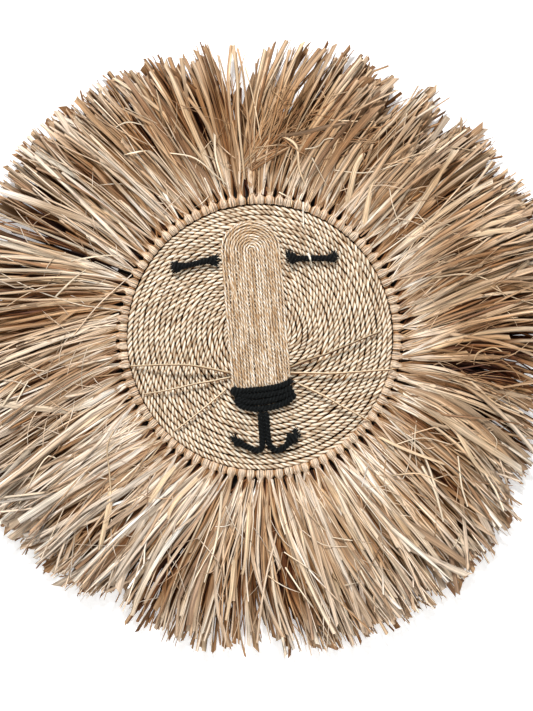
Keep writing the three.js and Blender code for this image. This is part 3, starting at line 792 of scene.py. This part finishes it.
def knot_wraps(name, rng, home, tight, swept, wrap):
    """Every knot's wraps over the hoop, which run on as the tuft's front strands"""
    amount = len(home)
    tuft = np.repeat(np.arange(amount), WRAPS_PER_KNOT)
    home = home[tuft]
    count = len(home)
    place = np.tile(np.linspace(-1, 1, WRAPS_PER_KNOT), amount) + rng.normal(0, 0.05, count)
    neck = np.full(count, 145.4)
    offset = place * 1.8 * tight[tuft]
    spread = place * rng.uniform(1.6, 2.9, count) + rng.normal(0, 0.4, count)
    drift = swept[tuft] + rng.normal(0, 3.5, count)
    layer = rng.uniform(0.86, 1.04, count)
    share = 1 - np.abs(rng.normal(0, 0.03, count))
    share = np.where(rng.random(count) < 0.35, share * rng.uniform(0.6, 0.95, count), share)
    knot_rings = len(KNOT)
    fan_rings = wrap.rings - knot_rings
    fan = fan_lines(rng, home, offset, spread, drift, layer, share, fan_rings, neck, np.ones(count))
    fan[:, 0, 2] = 6.0
    # Each knot is a rounded head, lower at its sides than in its middle
    middle, top, wide, drawn = KNOT.T[:, None]
    place = place[:, None]
    degrees = np.radians(home[:, None]) + place * wide / 138
    out = middle + place ** 2 * drawn + rng.normal(0, 0.15, (count, 1))
    rise = top * (1 - 0.3 * place ** 2 * (top > 2)) * (1 + 0.03 * rng.normal(0, 1, (count, 1)))
    wraps = np.stack([out * np.cos(degrees), out * np.sin(degrees), rise], -1)
    lines = np.concatenate([wraps, fan], axis=1)
    half = np.concatenate([
        np.full((count, knot_rings), 0.66) * rng.uniform(0.8, 1.15, (count, 1)),
        leaf_widths(rng, count, fan_rings, 0.55, 2.4),
    ], axis=1)
    roll = np.concatenate([
        place * np.full((count, knot_rings), 0.35), rolled(rng, count, fan_rings, 0.3, 0.4)], axis=1)
    fold = half * np.repeat([0.45, 0.3], [knot_rings, fan_rings])
    out = standing_out(lines)
    # Painted shade on the knots: their heads take full light, a little less towards their sides; their colour is
    # also made paler, up to a cream
    out[:, :knot_rings] = 1.04 - 0.16 * np.abs(place) ** 3
    tint = leaf_tints(rng, lines, out)
    tint[0][:, :knot_rings] = np.minimum(tint[0][:, :knot_rings] * 1.34, linear(243, 219, 193))
    wrap.laid(
        name, lines, half, 0.2, fold, roll, tint, 36, 190.0,
        rng.uniform(-1.4, 1.4, count), rng.normal(0, 0.1, count))


def mane_quarter(name, tufts, seed, leaf, wrap):
    """The strands of a quarter of the tufts, then their knots"""
    rng = np.random.default_rng(seed)
    home = 360 * tufts / TUFTS + rng.normal(0, 0.2, len(tufts))
    tight = rng.uniform(0.8, 1.5, len(tufts))
    swept = rng.normal(0, 2.2, len(tufts))
    tuft_strands(name, rng, home, tight, swept, leaf)
    knot_wraps(name + "_knots", rng, home, tight, swept, wrap)


# Loose strands that lie across the mane, as seen on the face: their turns, how wide they are and,
# where one stands out from its neighbours, its colour
PALE, TAN, DULL, RUSSET, DARK = (240, 220, 192), (218, 190, 156), (204, 192, 174), (182, 146, 110), (124, 96, 70)
LOOSE = [
    ([(15, 234), (23, 245), (32, 248), (40, 245)], 0.5), ([(16, 241), (22, 234), (30, 232)], 0.5),
    ([(-10, 185), (2, 188), (25, 190), (35, 187)], 0.5),
    ([(-90, 182), (-65, 177), (-42.5, 159.5), (-31, 149.5)], 0.8, PALE),
    ([(96, 147), (120, 150), (146, 146), (158, 148)], 0.5), ([(105, 166), (135, 172), (160, 170)], 0.45),
    ([(72, 192), (100, 193), (115, 192)], 0.6), ([(75, 196), (98, 195), (113, 199)], 0.5),
    ([(-100, 120), (-88, 132), (-78, 142)], 0.45), ([(-190, -5), (-160, 32), (-128, 62)], 0.7),
    ([(-190, 74.5), (-172.5, 78), (-152.5, 81), (-140, 80)], 0.8, PALE),
    ([(-130, -270), (-118, -262), (-100, -258)], 0.4), ([(18, 145), (30, 138), (40, 129)], 0.6, PALE),
    ([(20, 199), (40, 183), (60, 177)], 0.8),
    ([(211.7, -28), (211.7, -23), (215, -16.3), (223.3, -12.2), (231.7, -10.5), (240, -14.7)], 0.9),
    ([(221.7, -16.3), (226.7, -20.5), (240, -19.7), (253.3, -16.3)], 0.8),
    ([(205, -41), (218, -53), (233, -66), (257, -76)], 1.2),
    ([(190.5, -85.5), (203, -108), (215.5, -128), (232, -140), (248, -152)], 2.0, TAN),
    ([(153, -76), (170, -85), (188, -91)], 2.0), ([(215, 57), (233, 47), (250, 39), (273, 32)], 0.6),
    ([(155, 54), (168, 39), (185, 22)], 0.45),
    ([(35.5, 184.5), (56.7, 188), (65.5, 195.7), (83, 195.7)], 0.6, PALE),
    ([(-60, -200), (-40, -225), (-36, -250)], 0.5), ([(40, -190), (62, -205), (88, -208)], 0.5),
    # upper left
    ([(-182.5, 237), (-160, 212), (-130, 182)], 3.2, RUSSET),
    ([(-222.5, 184.5), (-202.5, 172), (-180, 157)], 2.4, DULL),
    ([(-142.5, 207), (-130, 212), (-115, 209.5)], 0.8, PALE),
    ([(-135, 179.5), (-120, 183), (-110, 184.5)], 1.0, PALE),
    ([(-28.5, 290), (-31.5, 255), (-28, 212), (-20, 157)], 1.5, RUSSET),
    ([(-26, 290), (-22, 255), (-20.5, 212), (-15, 157)], 1.7, TAN),
    ([(-27, 287), (-30, 265), (-29, 225), (-22, 180)], 1.1, TAN),
    ([(-22.5, 287), (-17, 262), (-12, 215), (-8, 160)], 1.0, RUSSET),
    ([(-15, 268), (-9, 246), (-2, 212), (2, 185)], 0.6, TAN),
    ([(9, 288), (2, 262), (-8, 212), (-12, 158)], 1.0, RUSSET),
    ([(8, 270), (-1, 245), (-5, 215), (-6, 180)], 0.5, TAN), ([(-80, 225.7), (-47.5, 225.7)], 0.35),
    ([(-45, 202), (-43.7, 177), (-35, 149)], 1.1, PALE),
    ([(-202.5, 39.5), (-185, 57), (-172.5, 67)], 0.9, PALE), ([(-65, 129), (-50, 142)], 0.5, PALE),
    # upper right
    ([(10.5, 197), (40.5, 200.7), (78, 209.7), (113, 209.7)], 2.4, DARK),
    ([(63, 214.5), (90, 213), (114, 213)], 0.9, TAN),
    ([(20.5, 199.5), (35.5, 189.5), (39, 167), (46.7, 149)], 1.3, TAN),
    ([(49, 182), (63, 157), (68, 149)], 0.7, PALE),
    ([(70.5, 165.7), (100.5, 162), (125.5, 167), (153, 177)], 0.6, PALE),
    ([(110.5, 157), (138, 174.5), (183, 187), (213, 184.5)], 0.7, TAN),
    ([(86, 129), (94, 165), (103, 182)], 3.0, TAN), ([(102.5, 106), (110.5, 147), (118, 162)], 2.8, TAN),
    ([(128, 147), (139, 109.5)], 0.5, PALE), ([(153, 124.5), (168, 107)], 0.45, PALE),
    ([(163, 57), (203, 62), (228, 54.5), (243, 39.5)], 0.8, TAN),
    ([(213, 107), (243, 117), (263, 122)], 2.8, TAN), ([(198, 99.5), (243, 106), (268, 107)], 3.0, TAN),
    # lower left
    ([(-142.5, -88), (-151, -108), (-149, -133), (-147, -158)], 0.9, TAN),
    ([(-147, -150), (-149, -170), (-159, -213)], 3.0, TAN),
    ([(-200, -122), (-212, -120.5), (-238.7, -165.5)], 0.8, PALE), ([(-255, -69), (-236, -43)], 1.1, PALE),
    ([(-241, -65.5), (-229, -43)], 0.9, PALE), ([(-10, -163), (-13.7, -218), (-17.5, -235.5)], 2.2, TAN),
    ([(-26, -218), (-28.7, -253), (-33.7, -281)], 2.0, TAN),
    ([(-37.5, -152), (-42.5, -198), (-55, -243)], 1.2, PALE),
    ([(-84, -126), (-96, -142), (-112, -166)], 3.0, TAN), ([(-60, -137), (-84, -163), (-95, -185)], 2.8, TAN),
    # lower right
    ([(195.5, -118), (199, -148), (205.5, -168)], 1.3, PALE),
    ([(160.5, -128), (173, -153), (181.7, -183)], 1.3, PALE),
    ([(128, -138), (158, -135.5), (185.5, -148)], 0.9, TAN),
    ([(118, -98), (143, -110.5), (183, -125.5)], 2.2, TAN), ([(24, -213), (63, -240)], 0.5, PALE),
    ([(83, -245.5), (100.5, -241.7)], 0.7, PALE), ([(70.5, -198), (91.7, -201.7)], 0.7, PALE),
    ([(35.5, -160.5), (65.5, -193)], 0.7, TAN), ([(25.5, -228), (53, -268)], 0.9, PALE),
    ([(99, -230), (109, -250)], 1.0, PALE), ([(188, -213), (200, -193)], 0.5, PALE),
    ([(193, -200), (209, -210)], 0.7, PALE), ([(220, -87), (234, -103), (226, -121)], 0.4, PALE),
    ([(128, -109), (160, -100), (188, -106)], 0.5, PALE),
]
# Two short strands that have dropped on the face: their turns with heights, and how wide they are
ON_FACE = [
    ([(43, 134, 13.2), (43, 124, 10.4), (43.5, 110, 7.4)], 0.85),
    ([(47.5, 83.5, 8.6), (50, 77.5, 14), (52.5, 71.5, 8.4)], 1.1),
]


def loose_strands(leaf):
    """Single strands that have come across the others"""
    rng = np.random.default_rng(151)
    routes = [np.array(strand[0], float) for strand in LOOSE]
    halves = [strand[1] for strand in LOOSE]

    def bent_strand(start, heading, length, width):
        bend = rng.normal(0, 0.35)
        ways = heading + bend * np.linspace(-0.5, 0.5, 5)
        steps = length * np.linspace(0, 1, 5)
        routes.append(start + steps[:, None] * np.stack([np.cos(ways), np.sin(ways)], -1))
        halves.append(width)

    for _ in range(STRAYS):
        degrees, radius = rng.uniform(0, 360), rng.uniform(160, 240)
        angle = math.radians(degrees)
        across = math.radians(mane_lean(degrees, radius) + rng.choice((-1, 1)) * rng.uniform(14, 62))
        start = radius * np.array([math.cos(angle), math.sin(angle)])
        bent_strand(start, angle + across, rng.uniform(14, 62), rng.uniform(0.25, 0.6))
    # A sheaf swept across above the face, then the tangle beside it
    for _ in range(SHEAF):
        start = np.array([-23, 158]) + 12 * rng.random(2)
        bent_strand(start, math.radians(rng.uniform(28, 72)), rng.uniform(38, 95), rng.uniform(0.35, 1.3))
    for _ in range(TANGLE):
        start = np.array([rng.uniform(22, 100), rng.uniform(188, 224)])
        bent_strand(start, math.radians(rng.uniform(-22, 52)), rng.uniform(14, 42), rng.uniform(0.25, 0.75))

    def picked(line):
        """As many points of the line as the leaf has rings"""
        spots = np.linspace(0, len(line) - 1, leaf.rings)
        return np.stack([np.interp(spots, np.arange(len(line)), column) for column in line.T], -1)

    lines = []
    arched = np.sin(math.pi * np.linspace(0, 1, leaf.rings)) ** 0.6
    for turns in routes:
        if len(turns) == 2:
            turns = np.array([turns[0], turns.mean(0) + rng.normal(0, 0.6, 2), turns[1]])
        line = picked(evenly(turns, 1.0))
        radius, degrees = polar(line)
        height = mane_top(along_tuft(radius, mane_reach(degrees))) - 2.5 + 3.6 * arched
        lines.append(np.column_stack([line, height + (PLACED_ABOVE if len(lines) < len(LOOSE) else 0)]))
    for turns, half in ON_FACE:
        lines.append(picked(evenly(np.array(turns, float), 0.5)))
        halves.append(half)
    lines = np.array(lines)
    count = len(lines)
    half = np.array(halves)[:, None] * np.linspace(1.1, 0.75, leaf.rings)
    # Painted shade: loose strands take full light on top of the mane, those of the sheaf and the tangle a little
    # less
    out = np.full(lines.shape[:2], 1.05)
    bundled = len(LOOSE) + STRAYS
    out[bundled:] *= rng.uniform(0.84, 0.98, (count - bundled, 1))
    tint = leaf_tints(rng, lines, out)
    for number, strand in enumerate(LOOSE):
        if len(strand) == 3:
            tint[0][number] = linear(*strand[2])
    tint[0][-len(ON_FACE):] = linear(255, 246, 228)
    tint[1][:] = tint[0]
    leaf.laid(
        "mane_loose_strands", lines, half, 0.16, 0.4 * half, rng.normal(0, 0.4, (count, 1)),
        tint, 41, 60.0, np.zeros(count), np.zeros(count))


# Cords and twine on the face

def bridge_line(reach, step):
    """One loop of the nose bridge: up from the nose, round the top and down again"""
    down = unit(BRIDGE_FOOT - BRIDGE_TOP)
    across = np.array([-down[1], down[0]])
    length = np.linalg.norm(BRIDGE_FOOT - BRIDGE_TOP) + 1.5

    def spot(side, along):
        return BRIDGE_TOP + across * side + down * along

    arch = [spot(reach * math.cos(t), -reach * math.sin(t)) for t in np.linspace(0, math.pi, 13)]
    right = [spot(reach, along) for along in np.linspace(length, 6, 12)]
    left = [spot(-reach, along) for along in np.linspace(6, length, 12)]
    points = np.array(right + arch + left)
    return evenly(np.column_stack([points, np.zeros(len(points))]), step)


def nose_bridge():
    """Nested loops of three-ply twine, laid side by side"""
    rng = np.random.default_rng(21)
    outline = lobed(3, 3, 0.84, 0.52)
    cords, tints = [], []
    for loop in range(BRIDGE_LOOPS):
        route = bridge_line(TWINE * (loop + 0.5), 1.0)
        count = len(route)
        place = np.arange(count)
        route[:, 2] = FACE_TOP + TWINE / 2 - 0.1 + drifting(rng, place, 13, 0.24)
        aside = drifting(rng, place, 21, 0.3)
        route[:, 0] += aside
        route[:, 1] -= aside * np.sign(route[:, 0] - BRIDGE_TOP[0])
        pace = 1 + drifting(rng, place, 9, 0.4)
        twist = np.cumsum(2 * np.pi / 16.5 * pace) + rng.random() * 6
        swell = 1 + drifting(rng, place, 6, 0.06)
        girth = np.repeat(swell[:, None], len(outline), 1)
        girth[[0, -1]] *= 0.8
        rings = laid_cord(route, outline, twist, girth)
        # Painted shade: the twine is darker where it sinks between its neighbours and in the grooves between its
        # plies
        standing = (rings[..., 2] - route[:, None, 2]) / (TWINE / 2)
        light = 0.3 + 0.7 * np.clip(standing * 1.35 + 0.1, 0, 1)
        cords.append(rings)
        run = (1 + rng.normal(0, 0.06)) * (1 + drifting(rng, place, 8, 0.12))
        run = run * (1 + drifting(rng, place, 2.4, 0.1))
        groove_shade = np.tile([0.56, 1.04, 0.74], 3)[None, :] * light
        tints.append(shaded(linear(232, 217, 196), np.clip(run, 0.4, 1.25)[:, None] * groove_shade))
    piece = cord_piece("nose_bridge_twine", cords, tints, jute, (4, 24, 64), 8.0)
    return seated(piece, "jute_twine", "nose_bridge")


def black_cord(route, first_end, last_end, seed):
    """A black cord and its tints, each end plain (0) or swollen where it is knotted"""
    rng = np.random.default_rng(seed)
    lay, step = 11.0, 0.6
    route = evenly(np.column_stack([route, np.full(len(route), FACE_TOP + CORD / 2 - 0.3)]), step)
    count = len(route)
    place = np.arange(count) * step
    girth = np.ones(count)
    for distance, knot in ((place, first_end), (place[-1] - place, last_end)):
        if knot:
            swell = np.exp(-((distance - knot * 0.42) / (knot * 0.36)) ** 2) * (knot / CORD - 1)
            girth = girth + swell
            girth *= np.sqrt(np.clip(distance / (knot * 0.3), 0.02, 1))
        else:
            girth *= np.sqrt(np.clip(distance / 2.2, 0.06, 1))
    outline = lobed(3, 4, 1.92, 1.42)
    twist = np.cumsum(np.full(count, 2 * np.pi * step / lay)) + rng.random() * 6
    lumps = 1 + drifting(rng, place, 3, 0.035)
    rings = laid_cord(route, outline, twist, np.repeat((girth * lumps)[:, None], len(outline), 1))
    rings[..., 2] = np.maximum(rings[..., 2], FACE_TOP - 0.6)
    shade = linear(15, 18, 19)[None, None] * (1 + rng.normal(0, 0.16, (count, 1, 1)))
    # Painted shade in the grooves between the plies, and the crowns of the plies painted lighter
    groove_shade = np.tile([0.15, 1.3, 1.3, 0.15], 3)[None, :, None]
    return rings, shade * groove_shade


def frayed(at, heading, count, length, seed, fan=38, base=2.4):
    """The ends of a cord's own threads, fanned out where it is cut"""
    rng = np.random.default_rng(seed)
    outline = circle(5)
    threads = []
    for number in range(count):
        share = (number + 0.5) / count * 2 - 1
        way = math.radians(heading + fan * share + rng.normal(0, 5))
        across = math.radians(heading + 90)
        start = at + base * share * np.array([math.cos(across), math.sin(across)])
        reach = length * rng.uniform(0.7, 1.1) * (1 - 0.15 * share * share)
        ahead = reach * np.array([math.cos(way), math.sin(way)])
        turns = [start + part * ahead for part in (-0.35, 0.3, 0.7, 1)]
        lift = rng.uniform(0.8, 4.2)
        height = np.array([2.6, lift, lift - 0.3, lift - 0.8 + rng.normal(0, 0.5)]) + FACE_TOP
        route = evenly(np.column_stack([turns, height]), 0.8)
        girth = np.linspace(0.95, 0.45, len(route)) * rng.uniform(0.8, 1.1)
        rings = laid_cord(route, outline, np.zeros(len(route)), np.repeat(girth[:, None], 5, 1))
        rings[..., 2] = np.maximum(rings[..., 2], FACE_TOP + 0.05)
        tint = linear(20, 23, 24) * rng.uniform(0.7, 1.4)
        threads.append((rings, np.broadcast_to(tint, (len(route), 5, 3))))
    return threads


def face_cords():
    """The black cords: each piece and its solid, its cords with their knots, and where its ends fray"""
    nose = [(row, 0 if number else 11, 0, 30 + number) for number, row in enumerate(NOSE_ROWS)]
    for name, node, cords, ends in (
        ("nose_cord", "nose", nose, [((29.5, -44.5), 52, 7, 4.5, 50)]),
        ("left_eye_cord", "eye_left", [(LEFT_EYE, 11.6, 9.4, 41)], [
            ((-84.5, 69.4), 188, 9, 5.2, 51, 44, 4.2), ((-45.5, 75.8), 2, 10, 6.6, 52, 40, 4.2)]),
        ("right_eye_cord", "eye_right", [(RIGHT_EYE, 11.4, 8.6, 42)], [
            ((28.5, 81.5), 92, 6, 6.2, 53, 26, 2.4), ((29.5, 78.6), 184, 6, 4.6, 54, 44, 3.4),
            ((72.5, 81), 84, 6, 5.6, 55, 26, 2.6), ((74, 78.4), -4, 7, 4.8, 56, 44, 3.2)]),
        ("left_mouth_cord", "mouth_left", [(LEFT_MOUTH, 0, 9, 43)],
         [((-24.5, -102.6), 142, 8, 6.4, 57, 34, 2.8)]),
        ("right_mouth_cord", "mouth_right", [(RIGHT_MOUTH, 0, 13, 44)],
         [((35.5, -96.4), 32, 9, 5.6, 58, 30, 4.4)]),
    ):
        laid = [black_cord(*cord) for cord in cords]
        for end in ends:
            laid += frayed(*end)
        rings, tints = zip(*laid)
        seated(cord_piece(name, rings, tints, cotton, (3, 18, 60), 8.0), "black_cord", node)


# Each straw: its side, root height, far end, how far it stands out, its bow and lift, its colour,
# how thick it is and how much of it is in shade
WHISKERS = {
    "left_1": (-1, -35.6, (-129.2, -29.6), 6.5, 5, 0, (208, 190, 160), 1.15, 0.45),
    "left_2": (-1, -40, (-116, -57.3), 2, 0, 0, (222, 206, 178), 1.0, 0.45),
    "left_3": (-1, -51.5, (-85, -93.5), 1, -1, 0, (238, 220, 190), 0.9, 0.3),
    "right_1": (1, -30.8, (120.4, 5), 2.5, 0, 0, (190, 170, 134), 1.15, 0.9),
    "right_2": (1, -35.6, (132, -32.8), 1.5, -1.5, 3.7, (230, 212, 182), 1.15, 0.55),
    "right_3": (1, -46.5, (109.2, -83.8), 0, 1, 3.7, (236, 218, 188), 1.0, 0.35),
}
ROOT_OUT = {"left_3": 5, "right_3": 7}


def whiskers():
    outline = circle(8)
    slope = (BRIDGE_FOOT[0] - BRIDGE_TOP[0]) / (BRIDGE_FOOT[1] - BRIDGE_TOP[1])
    for number, (name, straw_of) in enumerate(WHISKERS.items()):
        side, root, to, proud, bow, lift, colour, thick, shady = straw_of
        rng = np.random.default_rng(60 + number)
        half = TWINE * BRIDGE_LOOPS * math.hypot(1, slope)
        root_x = BRIDGE_TOP[0] + slope * (root - BRIDGE_TOP[1]) + side * (half + 0.4 + ROOT_OUT.get(name, 0))
        along = np.linspace(0, 1, 26)
        swell = np.sin(np.pi * along)
        route = np.column_stack([
            root_x + (to[0] - root_x) * along,
            root + (to[1] - root) * along + bow * swell + drifting(rng, along, 0.2, 0.35),
            FACE_TOP + 1.3 + (proud + 1) * swell + lift * along,
        ])
        route = evenly(route, 4.0)
        count = len(route)
        girth = thick * np.linspace(1.05, 0.7, count) * (1 + rng.normal(0, 0.05, count))
        rings = laid_cord(route, outline, np.zeros(count), np.repeat(girth[:, None], 8, 1))
        # Painted shade: the straw is darker and browner along its underside, pale along its top
        under = np.clip(outline[:, 0] * side * 1.4 + shady, 0, 1)
        shade = shaded(linear(*colour), np.broadcast_to(1 - 0.88 * under, (count, 8)))
        piece = cord_piece(f"whisker_{name}_straw", [rings], [shade], straw, (1, 2, 60), 6.0)
        seated(piece, "straw", "whisker_" + name)


# Stage, light and camera

def stage_plane(name, size, place, turned, colour):
    """A flat sheet of the stage, painted one colour"""
    drop_selection()
    bpy.ops.mesh.primitive_plane_add(size=size, location=place, rotation=turned)
    plane = bpy.context.object
    plane.name = name
    bpy.ops.object.transform_apply(location=True, rotation=True, scale=True)
    material, tree, shader = finish(name + "_paint", 0.9, 0.2, 0)
    wired(tree, shader, {"Base Color": (*colour, 1)})
    plane.data.materials.append(material)
    return plane, tree, shader


def backdrop():
    """A white wall that is clear from behind, so that the back can be seen, and a pale floor"""
    wall, tree, shader = stage_plane("wall", 12, (0, 0.0015, 0), (math.pi / 2, 0, 0), (0.93, 0.93, 0.93))
    wall.visible_shadow = False
    wired(tree, shader, {"Emission Color": (1, 1, 1, 1), "Emission Strength": 0.36})
    clear = new_node(tree, "BsdfTransparent", {}).outputs["BSDF"]
    behind = new_node(tree, "NewGeometry", {}).outputs["Backfacing"]
    seen = new_node(tree, "MixShader", {"Fac": behind, 1: shader.outputs["BSDF"], 2: clear})
    wired(tree, tree.nodes["Material Output"], {"Surface": seen.outputs["Shader"]})
    stage_plane("floor", 16, (0, 0, -1), (0, 0, 0), (0.86, 0.85, 0.83))


def lamp(name, place, aim, size, power):
    drop_selection()
    bpy.ops.object.light_add(type="AREA", location=place)
    light = bpy.context.object
    light.name = name
    light.data.shape = "RECTANGLE"
    light.data.size, light.data.size_y = size
    light.data.energy = power
    towards = np.subtract(aim, place)
    light.rotation_euler = Vector(towards).to_track_quat("-Z", "Y").to_euler()


# Metres from the camera to the wall, and how much of the wall's height it takes in
EYE_DISTANCE, VIEW_HEIGHT = 2.0, 0.711


def studio():
    scene = bpy.context.scene
    scene.view_settings.view_transform = "Standard"
    world = bpy.data.worlds.new("studio")
    scene.world = world
    world.use_nodes = True
    tree = world.node_tree
    wired(tree, tree.nodes["Background"], {"Color": (1, 1, 1, 1), "Strength": 0.24})
    lamp("key_from_above", (-0.35, -2.5, 2.9), (0, 0, 0), (0.5, 0.4), 185)
    lamp("back_fill", (0.4, 2.2, 1.0), (0, 0, 0), (1.5, 1.5), 30)
    camera = bpy.data.cameras.new("camera")
    camera.sensor_width = 36
    camera.lens = camera.sensor_width * EYE_DISTANCE / VIEW_HEIGHT
    eye = bpy.data.objects.new("camera", camera)
    bpy.context.collection.objects.link(eye)
    eye.location = (0.0065, -EYE_DISTANCE, -0.0185)
    eye.rotation_euler = (math.pi / 2, 0, 0)
    scene.camera = eye


studio()
backdrop()
backing()
mane_ring()
rope_disc()
nose_bridge()
face_cords()
whiskers()
leaf_strip = Strip(12)
wrap_strip = Strip(18)
for number, quarter in enumerate(("mane_right", "mane_top", "mane_left", "mane_bottom")):
    tufts = np.arange(TUFTS // 4) + number * TUFTS // 4 - 11
    mane_quarter(quarter, tufts % TUFTS, 300 + number, leaf_strip, wrap_strip)
loose_strands(Strip(14))
